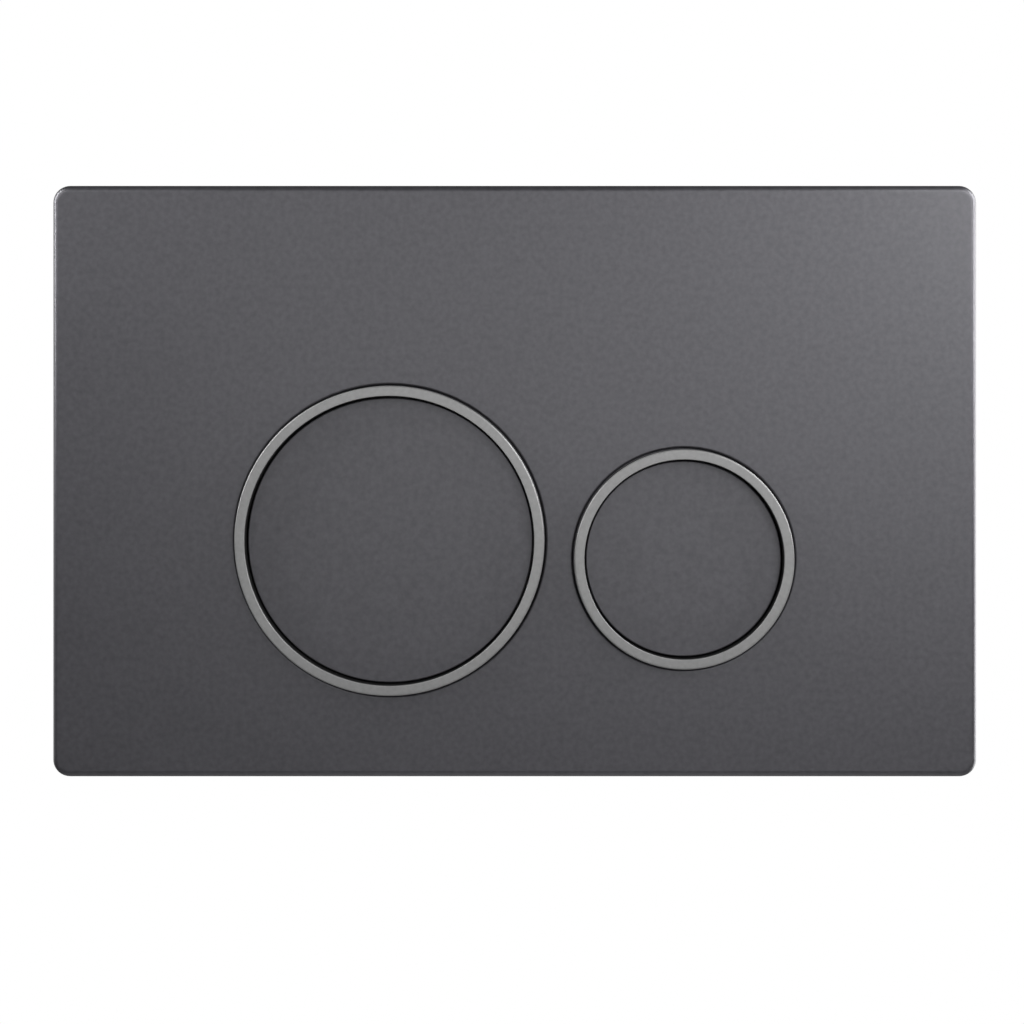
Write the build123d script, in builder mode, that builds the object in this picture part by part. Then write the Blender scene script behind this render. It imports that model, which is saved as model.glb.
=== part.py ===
# Dual flush button plate with its mounting frame, fixing studs and push rods.
# Millimetres. The wall is the plane y = 0 and the plate stands in front of it, towards -Y.
# +Z is up, +X is to the right seen from the front, and the origin is the plate's middle on the wall.
# Every "height" below is a distance in front of the wall, so a negative height is behind it.
import os
from math import cos, hypot, radians, sin, sqrt

from build123d import *

os.makedirs("parts", exist_ok=True)

# Front plate
PLATE_WIDTH = 250.0
PLATE_HEIGHT = 160.0
PLATE_DEPTH = 13.0
FACE_WALL = 2.4
RIM_WALL = 2.2
CORNER_RADIUS = 4.7
EDGE_RADIUS = 2.1
RIB_WALL = 1.2
RIB_DEPTH = 2.0
RIB_COLUMNS = 5

# Trim rings
LARGE_RING_DIAMETER = 83.2
SMALL_RING_DIAMETER = 59.1
RING_SPACING = 8.2
SMALL_RING_DROP = 5.0
RING_BOTTOM_MARGIN = 22.5
RING_FACE_WIDTH = 2.7
RING_PROUD = 1.9
RING_CHAMFER = 0.5
RING_GROOVE = 0.4
RING_SEAT_DEPTH = 1.7
HOLE_CHAMFER = 0.4
SLEEVE_WALL = 1.0
SLEEVE_CLEARANCE = 0.2
SLEEVE_SHORT = 0.7
COLLAR_WALL = 2.6
COLLAR_LENGTH = 4.2

# Button caps and plungers
BUTTON_GAP = 0.4
CAP_DROP = 0.7
CAP_CHAMFER = 0.4
BUTTON_TRAVEL = 5.0
CAP_WALL = 1.3
SKIRT_WALL = 1.5
CROWN_CLEARANCE = 0.1
CROWN_WALL = 1.6
BRIM_WALL = 1.6
BRIM_OVERLAP = 1.9
STEM_RADIUS = 6.5
STEM_RIBS = 6
STEM_RIB_DEPTH = 2.0

# Button housing
WELL_CLEARANCE = 0.2
WELL_WALL = 1.8
FLOOR_WALL = 2.0
FLOOR_CLEARANCE = 1.2
FLANGE_WALL = 2.0
FLANGE_BACK = 0.0
FLANGE_LIP = 1.0
GUIDE_CLEARANCE = 0.3
GUIDE_WALL = 1.6
GUIDE_BEHIND = 6.0
GUIDE_INSIDE = 3.4
GUSSETS = 4
GUSSET_WALL = 1.4
VENT_WIDTH = 6.0
VENT_MARGIN = 4.0
LARGE_EAR_ANGLE = 165.0
SMALL_EAR_ANGLE = 15.0
EAR_WALL = 1.8

# Housing screws and their bosses
SCREW_RADIUS = 1.4
SCREW_LENGTH = 9.0
SCREW_HEAD_RADIUS = 2.9
SCREW_HEAD_HEIGHT = 1.9
SCREW_HEAD_CHAMFER = 0.8
SCREW_CLEARANCE = 0.3
THREAD_CLEARANCE = 0.03
BOSS_RADIUS = 3.2
BOSS_CLEARANCE = 1.2
PILOT_ROOM = 0.6

# Return springs
SPRING_WIRE = 1.0
SPRING_TURNS = 3.0
SPRING_CLEARANCE = 0.5
SPRING_SEAT_GAP = 0.05

# Mounting frame
FRAME_CLEARANCE = 3.0
FRAME_WALL = 2.4
FRAME_RAIL_WALL = 2.0
FRAME_CORNER_RADIUS = 5.0
WINDOW_CLEARANCE = 1.2
WINDOW_CORNER_RADIUS = 3.0
FRAME_RIB_WALL = 1.4
FRAME_BAYS = 6
SLOT_WIDTH = 6.6
SLOT_LENGTH = 12.0
SLOT_BOSS_WALL = 2.6
SLOT_FROM_WINDOW = 11.0

# Clip hooks between plate and frame
HOOK_WIDTH = 14.0
HOOK_WALL = 1.8
HOOK_BARB = 1.2
HOOK_SIDE_CLEARANCE = 0.5
HOOK_PLAY = 0.1

# Fixing studs, nuts and washers
STUD_RADIUS = 4.0
STUD_LENGTH = 70.0
STUD_NECK_RADIUS = 3.0
STUD_CHAMFER = 0.8
NUT_RADIUS = 7.0
NUT_HEIGHT = 3.2
NUT_SIDES = 12
NUT_ROOM = 0.6
WASHER_RADIUS = 6.6
WASHER_WALL = 0.8
WASHER_CLEARANCE = 0.3

# Push rods
ROD_RADIUS = 4.0
ROD_BEHIND = 60.0
ROD_ENGAGEMENT = 9.0
ROD_FIT = 0.05
LOCKNUT_ACROSS_FLATS = 13.0
LOCKNUT_HEIGHT = 5.0
LOCKNUT_GAP = 0.5
TIP_RADIUS = 6.0
TIP_LENGTH = 11.0
TIP_SOCKET = 8.0
TIP_CHAMFER = 1.2

# Heights in front of the wall
FACE_BACK = PLATE_DEPTH - FACE_WALL
RING_SEAT = PLATE_DEPTH - RING_SEAT_DEPTH
COLLAR_END = FACE_BACK - COLLAR_LENGTH
CAP_FRONT = PLATE_DEPTH - CAP_DROP
CAP_BACK = CAP_FRONT - CAP_WALL
CROWN_BACK = CAP_BACK - CROWN_WALL
BRIM_BACK = COLLAR_END - BRIM_WALL
FLOOR_FRONT = BRIM_BACK - BUTTON_TRAVEL - FLOOR_CLEARANCE
FLOOR_BACK = FLOOR_FRONT - FLOOR_WALL
FLANGE_FRONT = FLANGE_BACK + FLANGE_WALL
GUIDE_BACK = FLOOR_BACK - GUIDE_BEHIND
GUIDE_FRONT = FLOOR_FRONT + GUIDE_INSIDE
STEM_BACK = GUIDE_BACK - LOCKNUT_GAP
FRAME_FRONT = FACE_BACK - NUT_ROOM - NUT_HEIGHT - WASHER_WALL
FRAME_WEB_BACK = FRAME_FRONT - FRAME_WALL
NUT_BACK = FRAME_FRONT + WASHER_WALL
STUD_FRONT = NUT_BACK + NUT_HEIGHT

# Radii shared by the sliding and the fixed pieces
GUIDE_BORE = STEM_RADIUS + GUIDE_CLEARANCE
GUIDE_RADIUS = GUIDE_BORE + GUIDE_WALL
SPRING_RADIUS = GUIDE_RADIUS + SPRING_CLEARANCE + SPRING_WIRE / 2
RIB_INNER_RADIUS = SPRING_RADIUS + SPRING_WIRE / 2 + SPRING_CLEARANCE
ROD_SOCKET = ROD_RADIUS + ROD_FIT
EAR_RADIUS = BOSS_RADIUS + EAR_WALL
EAR_OFFSET = BOSS_RADIUS + BOSS_CLEARANCE


class Button:
    """One push button: its centre on the plate and every radius that follows from its trim ring."""

    def __init__(self, name, ring_diameter, x, z, ear_angle):
        self.name = name
        self.x = x
        self.z = z
        self.ring = ring_diameter / 2
        self.ring_inner = self.ring - RING_FACE_WIDTH
        self.hole = self.ring + RING_GROOVE
        self.sleeve = self.ring_inner + SLEEVE_WALL
        self.collar_bore = self.sleeve + SLEEVE_CLEARANCE
        self.collar = self.collar_bore + COLLAR_WALL
        self.cap = self.ring_inner - BUTTON_GAP
        self.cap_bore = self.cap - SKIRT_WALL
        self.crown = self.cap_bore - CROWN_CLEARANCE
        self.crown_bore = self.crown - CROWN_WALL
        self.brim = self.collar_bore + BRIM_OVERLAP
        self.well_bore = self.collar + WELL_CLEARANCE
        self.well = self.well_bore + WELL_WALL
        self.flange = self.well + FLANGE_LIP
        reach = self.well + EAR_OFFSET
        self.ear = (x + reach * cos(radians(ear_angle)), z + reach * sin(radians(ear_angle)))

    def profile(self):
        """Sketch plane through the press axis: local x is the radius, local y the height."""
        return Plane(origin=(self.x, 0, self.z), x_dir=(1, 0, 0), z_dir=(0, 0, -1))

    def axis(self):
        """The line the button is pressed along."""
        return Axis((self.x, 0, self.z), (0, 1, 0))


def at_height(height):
    """Sketch plane parallel to the wall, facing the front."""
    return Plane.XZ.offset(height)


def notch_points(first, second):
    """The two points that lie EAR_OFFSET away from both wells, between them."""
    near = first.well + EAR_OFFSET
    far = second.well + EAR_OFFSET
    span = hypot(second.x - first.x, second.z - first.z)
    ux = (second.x - first.x) / span
    uz = (second.z - first.z) / span
    along = (near**2 - far**2 + span**2) / (2 * span)
    across = sqrt(near**2 - along**2)
    return [(first.x + along * ux - side * uz, first.z + along * uz + side * ux) for side in (across, -across)]


# The pair of rings is centred on the plate's width and stands on a margin above its lower edge
RING_DISTANCE = (LARGE_RING_DIAMETER + SMALL_RING_DIAMETER) / 2 + RING_SPACING
RING_STEP = sqrt(RING_DISTANCE**2 - SMALL_RING_DROP**2)
PAIR_WIDTH = LARGE_RING_DIAMETER / 2 + RING_STEP + SMALL_RING_DIAMETER / 2
LARGE_X = (LARGE_RING_DIAMETER - PAIR_WIDTH) / 2
LARGE_Z = (LARGE_RING_DIAMETER - PLATE_HEIGHT) / 2 + RING_BOTTOM_MARGIN
LARGE = Button("large", LARGE_RING_DIAMETER, LARGE_X, LARGE_Z, LARGE_EAR_ANGLE)
SMALL = Button("small", SMALL_RING_DIAMETER, LARGE_X + RING_STEP, LARGE_Z - SMALL_RING_DROP, SMALL_EAR_ANGLE)
BUTTONS = (LARGE, SMALL)
SCREW_POINTS = [LARGE.ear, SMALL.ear] + notch_points(LARGE, SMALL)

# The frame fills the plate's back and its window clears the housing
FRAME_WIDTH = PLATE_WIDTH - 2 * (RIM_WALL + FRAME_CLEARANCE)
FRAME_HEIGHT = PLATE_HEIGHT - 2 * (RIM_WALL + FRAME_CLEARANCE)
WINDOW_WIDTH = 2 * (max(abs(x) for x, z in SCREW_POINTS) + EAR_RADIUS + WINDOW_CLEARANCE)
WINDOW_HEIGHT = 2 * (LARGE.flange - LARGE.z + WINDOW_CLEARANCE)
STUD_X = WINDOW_WIDTH / 2 + SLOT_FROM_WINDOW
STUD_POINTS = [(-STUD_X, 0), (STUD_X, 0)]
HOOK_Z = (FRAME_HEIGHT + WINDOW_HEIGHT) / 4
FRAME_BAY = FRAME_WIDTH / FRAME_BAYS
HOOK_X = FRAME_BAY * 1.5
HOOK_POINTS = [(x, side * HOOK_Z, side) for x in (-HOOK_X, HOOK_X) for side in (1, -1)]


def export(piece, name):
    """Label a finished piece and write it."""
    piece.label = name
    export_step(piece, "parts/" + name + ".step")


def make_front_plate():
    """Open-backed tray with two stepped holes, collars, screw bosses, ribs and clip hooks."""
    with BuildPart() as front_plate:
        with BuildSketch(at_height(0)):
            RectangleRounded(PLATE_WIDTH, PLATE_HEIGHT, CORNER_RADIUS)
        extrude(amount=PLATE_DEPTH)
        fillet(front_plate.faces().sort_by(Axis.Y)[0].edges(), EDGE_RADIUS)
        with BuildSketch(at_height(0)):
            RectangleRounded(PLATE_WIDTH - 2 * RIM_WALL, PLATE_HEIGHT - 2 * RIM_WALL, CORNER_RADIUS - RIM_WALL)
        extrude(amount=FACE_BACK, mode=Mode.SUBTRACT)

        rib_foot = LARGE.z + LARGE.flange + BOSS_CLEARANCE
        rib_top = PLATE_HEIGHT / 2 - RIM_WALL
        rib_step = PLATE_WIDTH / (RIB_COLUMNS + 1)
        with BuildSketch(at_height(FACE_BACK - RIB_DEPTH)):
            with Locations((0, rib_foot)):
                Rectangle(PLATE_WIDTH - 2 * RIM_WALL, RIB_WALL)
            with Locations((0, (rib_foot + rib_top) / 2)):
                with GridLocations(rib_step, 0, RIB_COLUMNS, 1):
                    Rectangle(RIB_WALL, rib_top - rib_foot)
        extrude(amount=RIB_DEPTH)

        with BuildSketch(at_height(FLANGE_FRONT)):
            with Locations(*SCREW_POINTS):
                Circle(BOSS_RADIUS)
        extrude(amount=FACE_BACK - FLANGE_FRONT)
        with BuildSketch(at_height(FLANGE_FRONT)):
            with Locations(*SCREW_POINTS):
                Circle(SCREW_RADIUS + THREAD_CLEARANCE)
        extrude(amount=SCREW_LENGTH - FLANGE_WALL + PILOT_ROOM, mode=Mode.SUBTRACT)

        for button in BUTTONS:
            with BuildSketch(at_height(COLLAR_END)):
                with Locations((button.x, button.z)):
                    Circle(button.collar)
            extrude(amount=COLLAR_LENGTH)
            with BuildSketch(at_height(COLLAR_END)):
                with Locations((button.x, button.z)):
                    Circle(button.collar_bore)
            extrude(amount=PLATE_DEPTH - COLLAR_END, mode=Mode.SUBTRACT)
            with BuildSketch(at_height(RING_SEAT)):
                with Locations((button.x, button.z)):
                    Circle(button.hole)
            extrude(amount=RING_SEAT_DEPTH, mode=Mode.SUBTRACT)
        hole_edges = front_plate.faces().sort_by(Axis.Y)[0].edges().filter_by(GeomType.CIRCLE)
        chamfer(hole_edges.sort_by(SortBy.RADIUS)[-2:], HOLE_CHAMFER)

        barb_depth = FRAME_WEB_BACK / 2
        for x, z, side in HOOK_POINTS:
            with BuildSketch(Plane(origin=(x - HOOK_WIDTH / 2, 0, z), x_dir=(0, 0, side), z_dir=(side, 0, 0))):
                with BuildLine():
                    Polyline(
                        (-HOOK_WALL / 2, FACE_BACK),
                        (HOOK_WALL / 2, FACE_BACK),
                        (HOOK_WALL / 2, FRAME_WEB_BACK - HOOK_PLAY),
                        (HOOK_WALL / 2 + HOOK_BARB, FRAME_WEB_BACK - HOOK_PLAY),
                        (HOOK_WALL / 2, FRAME_WEB_BACK - HOOK_PLAY - barb_depth),
                        (-HOOK_WALL / 2, FRAME_WEB_BACK - HOOK_PLAY - barb_depth),
                        close=True,
                    )
                make_face()
            extrude(amount=side * HOOK_WIDTH)
    return front_plate.part


def make_trim_ring(button):
    """Stepped ring: a bevelled face that stands proud of the plate and a sleeve inside the collar."""
    with BuildPart() as trim_ring:
        with BuildSketch(button.profile()) as section:
            with BuildLine():
                Polyline(
                    (button.ring_inner, COLLAR_END + SLEEVE_SHORT),
                    (button.sleeve, COLLAR_END + SLEEVE_SHORT),
                    (button.sleeve, RING_SEAT),
                    (button.ring, RING_SEAT),
                    (button.ring, PLATE_DEPTH + RING_PROUD),
                    (button.ring_inner, PLATE_DEPTH + RING_PROUD),
                    close=True,
                )
            make_face()
            chamfer(section.vertices().group_by(Axis.Y)[-1], RING_CHAMFER)
        revolve(axis=button.axis())
    return trim_ring.part


def make_button_cap(button):
    """Round cup that shows as the button's face."""
    with BuildPart() as button_cap:
        with BuildSketch(button.profile()):
            with BuildLine():
                Polyline(
                    (0, CAP_FRONT),
                    (button.cap, CAP_FRONT),
                    (button.cap, COLLAR_END),
                    (button.cap_bore, COLLAR_END),
                    (button.cap_bore, CAP_BACK),
                    (0, CAP_BACK),
                    close=True,
                )
            make_face()
        revolve(axis=button.axis())
        chamfer(button_cap.faces().sort_by(Axis.Y)[0].edges(), CAP_CHAMFER)
    return button_cap.part


def make_plunger(button):
    """Top hat under the cap: crown, stop brim, guided stem with a threaded socket, and ribs."""
    with BuildPart() as plunger:
        with BuildSketch(button.profile()):
            with BuildLine():
                Polyline(
                    (0, CAP_BACK),
                    (button.crown, CAP_BACK),
                    (button.crown, COLLAR_END),
                    (button.brim, COLLAR_END),
                    (button.brim, BRIM_BACK),
                    (button.crown_bore, BRIM_BACK),
                    (button.crown_bore, CROWN_BACK),
                    (STEM_RADIUS, CROWN_BACK),
                    (STEM_RADIUS, STEM_BACK),
                    (ROD_SOCKET, STEM_BACK),
                    (ROD_SOCKET, STEM_BACK + ROD_ENGAGEMENT),
                    (0, STEM_BACK + ROD_ENGAGEMENT),
                    close=True,
                )
            make_face()
        revolve(axis=button.axis())
        rib_length = (button.crown + button.crown_bore) / 2 - RIB_INNER_RADIUS
        with BuildSketch(at_height(CROWN_BACK - STEM_RIB_DEPTH)):
            with Locations((button.x, button.z)):
                with PolarLocations(RIB_INNER_RADIUS + rib_length / 2, STEM_RIBS):
                    Rectangle(rib_length, RIB_WALL)
        extrude(amount=STEM_RIB_DEPTH)
    return plunger.part


def make_return_spring(button):
    """Coil of square wire between the housing's floor and the plunger's crown."""
    foot = FLOOR_FRONT + SPRING_WIRE / 2 + SPRING_SEAT_GAP
    rise = CROWN_BACK - FLOOR_FRONT - SPRING_WIRE - 2 * SPRING_SEAT_GAP
    with BuildPart() as return_spring:
        with BuildLine() as coil:
            Helix(rise / SPRING_TURNS, rise, SPRING_RADIUS, (button.x, -foot, button.z), (0, -1, 0))
        with BuildSketch(Plane(origin=coil.line @ 0, x_dir=(0, -1, 0), z_dir=coil.line % 0)):
            Rectangle(SPRING_WIRE, SPRING_WIRE)
        sweep(path=coil.line, is_frenet=True)
    return return_spring.part


def make_button_housing():
    """Two wells on one screw flange, each with a guide tube, gussets and vents in its floor."""
    with BuildPart() as button_housing:
        with BuildSketch(at_height(FLANGE_BACK)):
            for button in BUTTONS:
                with Locations((button.x, button.z)):
                    Circle(button.flange)
            with Locations(*SCREW_POINTS):
                Circle(EAR_RADIUS)
            make_hull()
        extrude(amount=FLANGE_WALL)
        for button in BUTTONS:
            with BuildSketch(at_height(FLOOR_BACK)):
                with Locations((button.x, button.z)):
                    Circle(button.well)
            extrude(amount=FACE_BACK - FLOOR_BACK)
        for button in BUTTONS:
            with BuildSketch(at_height(FLOOR_FRONT)):
                with Locations((button.x, button.z)):
                    Circle(button.well_bore)
            extrude(amount=FACE_BACK - FLOOR_FRONT, mode=Mode.SUBTRACT)
        for button in BUTTONS:
            gusset_foot = (GUIDE_BORE + GUIDE_RADIUS) / 2
            gusset_length = button.well_bore - gusset_foot
            with BuildSketch(at_height(GUIDE_BACK)):
                with Locations((button.x, button.z)):
                    Circle(GUIDE_RADIUS)
            extrude(amount=GUIDE_FRONT - GUIDE_BACK)
            with BuildSketch(at_height(FLOOR_BACK - GUIDE_BEHIND / 2)):
                with Locations((button.x, button.z)):
                    with PolarLocations(gusset_foot + gusset_length / 2, GUSSETS):
                        Rectangle(gusset_length, GUSSET_WALL)
            extrude(amount=GUIDE_BEHIND / 2)
            vent_length = button.well_bore - GUIDE_RADIUS - 2 * VENT_MARGIN
            with BuildSketch(at_height(FLOOR_BACK)):
                with Locations((button.x, button.z)):
                    with PolarLocations(GUIDE_RADIUS + VENT_MARGIN + vent_length / 2, GUSSETS, 180 / GUSSETS):
                        Rectangle(vent_length, VENT_WIDTH)
            extrude(amount=FLOOR_WALL, mode=Mode.SUBTRACT)
            with BuildSketch(at_height(GUIDE_BACK)):
                with Locations((button.x, button.z)):
                    Circle(GUIDE_BORE)
            extrude(amount=GUIDE_FRONT - GUIDE_BACK, mode=Mode.SUBTRACT)
        with BuildSketch(at_height(FLANGE_BACK)):
            with Locations(*SCREW_POINTS):
                Circle(SCREW_RADIUS + SCREW_CLEARANCE)
        extrude(amount=FLANGE_WALL, mode=Mode.SUBTRACT)
    return button_housing.part


def make_housing_screws():
    """Pan-head screws from the flange into the plate's bosses."""
    with BuildPart() as housing_screws:
        with BuildSketch(at_height(FLANGE_BACK - SCREW_HEAD_HEIGHT)):
            with Locations(*SCREW_POINTS):
                Circle(SCREW_HEAD_RADIUS)
        extrude(amount=SCREW_HEAD_HEIGHT)
        chamfer(housing_screws.edges().group_by(Axis.Y)[-1], SCREW_HEAD_CHAMFER)
        with BuildSketch(at_height(FLANGE_BACK)):
            with Locations(*SCREW_POINTS):
                Circle(SCREW_RADIUS)
        extrude(amount=SCREW_LENGTH)
    return housing_screws.part


def make_mounting_frame():
    """Channel-section frame, open at the back, with slotted bosses and slots for the hooks."""
    rail = FRAME_RAIL_WALL
    with BuildPart() as mounting_frame:
        with BuildSketch(at_height(0)):
            RectangleRounded(FRAME_WIDTH, FRAME_HEIGHT, FRAME_CORNER_RADIUS)
            RectangleRounded(WINDOW_WIDTH, WINDOW_HEIGHT, WINDOW_CORNER_RADIUS, mode=Mode.SUBTRACT)
        extrude(amount=FRAME_FRONT)
        with BuildSketch(at_height(0)):
            RectangleRounded(FRAME_WIDTH - 2 * rail, FRAME_HEIGHT - 2 * rail, FRAME_CORNER_RADIUS - rail)
            RectangleRounded(
                WINDOW_WIDTH + 2 * rail, WINDOW_HEIGHT + 2 * rail, WINDOW_CORNER_RADIUS + rail, mode=Mode.SUBTRACT
            )
            with Locations(*STUD_POINTS):
                SlotOverall(SLOT_LENGTH + 2 * SLOT_BOSS_WALL, SLOT_WIDTH + 2 * SLOT_BOSS_WALL, mode=Mode.SUBTRACT)
            with GridLocations(FRAME_BAY, 0, FRAME_BAYS - 1, 1):
                Rectangle(FRAME_RIB_WALL, FRAME_HEIGHT, mode=Mode.SUBTRACT)
            with GridLocations(0, WINDOW_HEIGHT / 2, 1, 3):
                Rectangle(FRAME_WIDTH, FRAME_RIB_WALL, mode=Mode.SUBTRACT)
        extrude(amount=FRAME_WEB_BACK, mode=Mode.SUBTRACT)
        with BuildSketch(at_height(0)):
            with Locations(*STUD_POINTS):
                SlotOverall(SLOT_LENGTH, SLOT_WIDTH)
        extrude(amount=FRAME_FRONT, mode=Mode.SUBTRACT)
        with BuildSketch(at_height(FRAME_WEB_BACK)):
            for x, z, side in HOOK_POINTS:
                with Locations((x, z + side * HOOK_BARB / 2)):
                    Rectangle(
                        HOOK_WIDTH + 2 * HOOK_SIDE_CLEARANCE,
                        HOOK_WALL + HOOK_BARB + 2 * HOOK_SIDE_CLEARANCE,
                    )
        extrude(amount=FRAME_WALL, mode=Mode.SUBTRACT)
    return mounting_frame.part


def make_fixing_rods():
    """Studs whose shoulder sits behind the frame and whose neck takes the nut."""
    with BuildPart() as fixing_rods:
        with BuildSketch(at_height(-STUD_LENGTH)):
            with Locations(*STUD_POINTS):
                Circle(STUD_RADIUS)
        extrude(amount=STUD_LENGTH)
        chamfer(fixing_rods.edges().group_by(Axis.Y)[-1], STUD_CHAMFER)
        with BuildSketch(at_height(0)):
            with Locations(*STUD_POINTS):
                Circle(STUD_NECK_RADIUS)
        extrude(amount=STUD_FRONT)
    return fixing_rods.part


def make_thumb_nuts():
    """Faceted thumb nuts on the studs' necks."""
    with BuildPart() as thumb_nuts:
        with BuildSketch(at_height(NUT_BACK)):
            with Locations(*STUD_POINTS):
                RegularPolygon(NUT_RADIUS, NUT_SIDES)
                Circle(STUD_NECK_RADIUS + ROD_FIT, mode=Mode.SUBTRACT)
        extrude(amount=NUT_HEIGHT)
    return thumb_nuts.part


def make_fixing_washers():
    """Washers between the nuts and the frame."""
    with BuildPart() as fixing_washers:
        with BuildSketch(at_height(FRAME_FRONT)):
            with Locations(*STUD_POINTS):
                Circle(WASHER_RADIUS)
                Circle(STUD_NECK_RADIUS + WASHER_CLEARANCE, mode=Mode.SUBTRACT)
        extrude(amount=WASHER_WALL)
    return fixing_washers.part


def make_push_rod(button):
    """Rod from the plunger's socket back to the flush lever."""
    with BuildPart() as push_rod:
        with BuildSketch(at_height(-ROD_BEHIND)):
            with Locations((button.x, button.z)):
                Circle(ROD_RADIUS)
        extrude(amount=ROD_BEHIND + STEM_BACK + ROD_ENGAGEMENT)
    return push_rod.part


def make_rod_locknut(button):
    """Hexagon nut that locks the rod against the stem."""
    with BuildPart() as rod_locknut:
        with BuildSketch(at_height(STEM_BACK - LOCKNUT_HEIGHT)):
            with Locations((button.x, button.z)):
                RegularPolygon(LOCKNUT_ACROSS_FLATS / 2, 6, major_radius=False)
                Circle(ROD_SOCKET, mode=Mode.SUBTRACT)
        extrude(amount=LOCKNUT_HEIGHT)
    return rod_locknut.part


def make_rod_tip(button):
    """Soft cap on the rod's rear end."""
    socket_end = -ROD_BEHIND
    tip_back = socket_end + TIP_SOCKET - TIP_LENGTH
    with BuildPart() as rod_tip:
        with BuildSketch(at_height(tip_back)):
            with Locations((button.x, button.z)):
                Circle(TIP_RADIUS)
        extrude(amount=TIP_LENGTH)
        chamfer(rod_tip.edges().group_by(Axis.Y)[-1], TIP_CHAMFER)
        with BuildSketch(at_height(socket_end)):
            with Locations((button.x, button.z)):
                Circle(ROD_SOCKET)
        extrude(amount=TIP_SOCKET, mode=Mode.SUBTRACT)
    return rod_tip.part


export(make_front_plate(), "front_plate")
export(make_button_housing(), "button_housing")
export(make_housing_screws(), "housing_screws")
export(make_mounting_frame(), "mounting_frame")
export(make_fixing_rods(), "fixing_rods")
export(make_thumb_nuts(), "thumb_nuts")
export(make_fixing_washers(), "fixing_washers")
for knob in BUTTONS:
    export(make_trim_ring(knob), knob.name + "_trim_ring")
    export(make_button_cap(knob), knob.name + "_button_cap")
    export(make_plunger(knob), knob.name + "_plunger")
    export(make_return_spring(knob), knob.name + "_return_spring")
    export(make_push_rod(knob), knob.name + "_push_rod")
    export(make_rod_locknut(knob), knob.name + "_rod_locknut")
    export(make_rod_tip(knob), knob.name + "_rod_tip")
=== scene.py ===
# %% [markdown]
# # A dual flush plate, dressed around its CAD frame
# The object is a flat plate for the wall in front of a hidden cistern, with a large and a small round
# button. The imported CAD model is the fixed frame: every piece below goes where a solid already is, in
# metres, with the wall as the plane y = 0 and the front towards -Y. The solids keep the sizes and the
# motion. This file adds what they leave out: soft moulded edges, threads, round spring wire, and the
# finish of each material.

from math import radians

import bmesh
import bpy
import numpy as np
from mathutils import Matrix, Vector


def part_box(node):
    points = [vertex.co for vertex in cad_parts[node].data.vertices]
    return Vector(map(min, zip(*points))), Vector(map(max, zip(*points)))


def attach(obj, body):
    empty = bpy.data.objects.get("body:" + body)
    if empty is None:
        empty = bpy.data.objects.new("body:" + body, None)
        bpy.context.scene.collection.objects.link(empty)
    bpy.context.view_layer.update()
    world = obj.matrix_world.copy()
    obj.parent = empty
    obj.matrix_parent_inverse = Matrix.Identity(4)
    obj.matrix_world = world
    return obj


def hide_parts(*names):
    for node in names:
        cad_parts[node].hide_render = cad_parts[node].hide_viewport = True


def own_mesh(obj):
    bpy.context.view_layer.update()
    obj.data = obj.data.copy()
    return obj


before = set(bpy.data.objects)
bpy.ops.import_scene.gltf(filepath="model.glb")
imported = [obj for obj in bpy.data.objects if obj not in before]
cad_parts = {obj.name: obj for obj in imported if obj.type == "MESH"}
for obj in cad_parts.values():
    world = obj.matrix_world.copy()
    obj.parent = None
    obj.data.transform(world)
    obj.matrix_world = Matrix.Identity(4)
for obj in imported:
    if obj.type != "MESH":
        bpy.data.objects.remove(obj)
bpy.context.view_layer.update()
MM = 0.001

# %% [markdown]
# ## A clean mesh
# A moulded or turned piece is one closed skin, with sharp edges only where the tool left them. An Edge
# Split modifier could shade it so, but it cuts the skin open. Here the points that meet are merged, the
# faces are turned outwards, and the edges that bend by more than the crease angle are marked sharp.

# %% Mesh to object
WELD = 1e-6
CREASE = 35.0


def finish_mesh(mesh, solid):
    """Merge the points that meet, turn the faces outwards, and shade smoothly between sharp edges."""
    bmesh.ops.remove_doubles(solid, verts=solid.verts, dist=WELD)
    bmesh.ops.dissolve_degenerate(solid, edges=solid.edges, dist=WELD)
    bmesh.ops.recalc_face_normals(solid, faces=solid.faces)
    solid.to_mesh(mesh)
    solid.free()
    mesh.shade_smooth()
    mesh.set_sharp_from_angle(angle=radians(CREASE))


def stand(name, mesh):
    """Object of a mesh, in the scene."""
    piece = bpy.data.objects.new(name, mesh)
    bpy.context.scene.collection.objects.link(piece)
    return piece


print("points within", WELD / MM, "mm are merged, and edges over", CREASE, "degrees stay sharp")

# %% [markdown]
# ## Surfaces from grids
# Most pieces are turned or threaded, so each is a grid of points: one direction runs along a profile, the
# other round an axis. A Screw modifier could turn a profile too, but worked out as arrays a grid keeps its
# exact radii and can carry a thread. Points that meet at the seam or on the axis are merged, so the skin
# is closed.


# %% Grid to skin
def skin(name, grids):
    """Object from grids of points, each rows x columns x 3 in millimetres.

    The cell (i, j) of a grid is the quad of the points (i, j), (i, j + 1), (i + 1, j + 1) and (i + 1, j).
    """
    points, quads, first = [], [], 0
    for grid in grids:
        index = first + np.arange(grid[..., 0].size).reshape(grid.shape[:2])
        corners = (index[:-1, :-1], index[:-1, 1:], index[1:, 1:], index[1:, :-1])
        quads.append(np.stack(corners, axis=-1).reshape(-1, 4))
        points.append(grid.reshape(-1, 3) * MM)
        first += index.size
    mesh = bpy.data.meshes.new(name)
    mesh.from_pydata(np.concatenate(points).tolist(), [], np.concatenate(quads).tolist())
    solid = bmesh.new()
    solid.from_mesh(mesh)
    finish_mesh(mesh, solid)
    return stand(name, mesh)


# %% Around an axis
def full_turn(segments):
    """Angles of one full turn as a column, the last one back at the start."""
    return np.linspace(0, 2 * np.pi, segments + 1)[:, None]


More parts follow.
